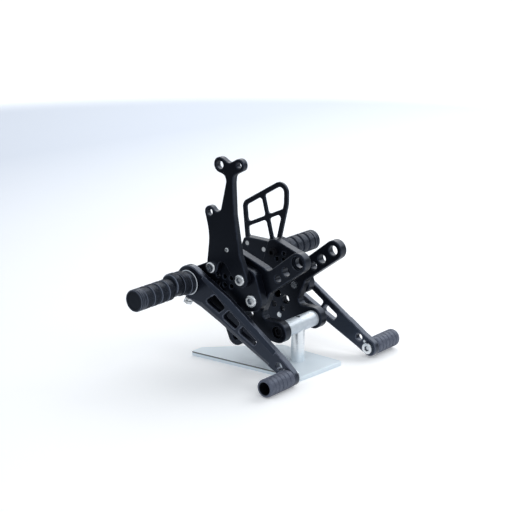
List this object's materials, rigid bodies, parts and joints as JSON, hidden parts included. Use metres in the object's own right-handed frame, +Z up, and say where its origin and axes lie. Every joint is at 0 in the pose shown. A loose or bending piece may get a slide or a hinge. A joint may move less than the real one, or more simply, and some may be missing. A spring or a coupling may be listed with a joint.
{
  "type": "rear sets footrest",
  "caption": "Pair of black adjustable motorbike rear sets with footpegs, brake and shift levers and a heel guard, held upright on an aluminium display stand.",
  "frame": {"origin": "on the floor under the axis of the stand's post", "axes": "+X forward on the motorbike, +Y towards its left side, +Z up"},
  "size_m": [0.1723, 0.2953, 0.2248],
  "materials": {
    "black_plate": "black anodised, satin",
    "peg": "dark anodised, knurled",
    "zinc_bolt": "bright zinc",
    "black_bolt": "black oxide",
    "bare_stand": "bare, satin",
    "bush": "dark anodised, turned"
  },
  "bodies": {
    "stand": {"front_carrier_bolts": "zinc_bolt", "heel_guard": "black_plate", "heel_guard_screws": "zinc_bolt", "left_carrier_plate": "black_plate", "left_footpeg": "peg", "left_frame_plate": "black_plate", "left_pivot_bolt": "black_bolt", "left_pivot_bush": "bush", "low_frame_screws": "zinc_bolt", "master_cylinder_plate": "black_plate", "master_plate_bolts": "zinc_bolt", "master_plate_screw": "zinc_bolt", "peg_end_caps": "peg", "pivot_washers": "zinc_bolt", "right_carrier_plate": "black_plate", "right_footpeg": "peg", "right_frame_plate": "black_plate", "right_pivot_bolt": "black_bolt", "right_pivot_bush": "bush", "stand_bar_screw": "black_bolt", "stand_base_plate": "bare_stand", "stand_base_stud": "black_bolt", "stand_clamp_bolts": "black_bolt", "stand_cross_bar": "bare_stand", "stand_post": "bare_stand", "top_carrier_bolts": "black_bolt"},
    "brake": {"brake_lever": "black_plate", "brake_toe_peg": "peg", "brake_toe_bolt": "zinc_bolt", "brake_toe_pin": "zinc_bolt", "brake_stop_bolt": "zinc_bolt", "brake_stop_nut": "zinc_bolt"},
    "shift": {"shift_lever": "black_plate", "shift_toe_peg": "peg", "shift_toe_bolt": "zinc_bolt", "shift_toe_pin": "zinc_bolt"}
  },
  "joints": [
    {"name": "brake_pivot", "type": "hinge", "parent": "stand", "child": "brake", "pos_m": [-0.1, 0, 0.085], "axis": [0, -1, 0], "range_deg": [0, 14]},
    {"name": "shift_pivot", "type": "hinge", "parent": "stand", "child": "shift", "pos_m": [-0.1, 0, 0.085], "axis": [0, -1, 0], "range_deg": [0, 20]}
  ]
}
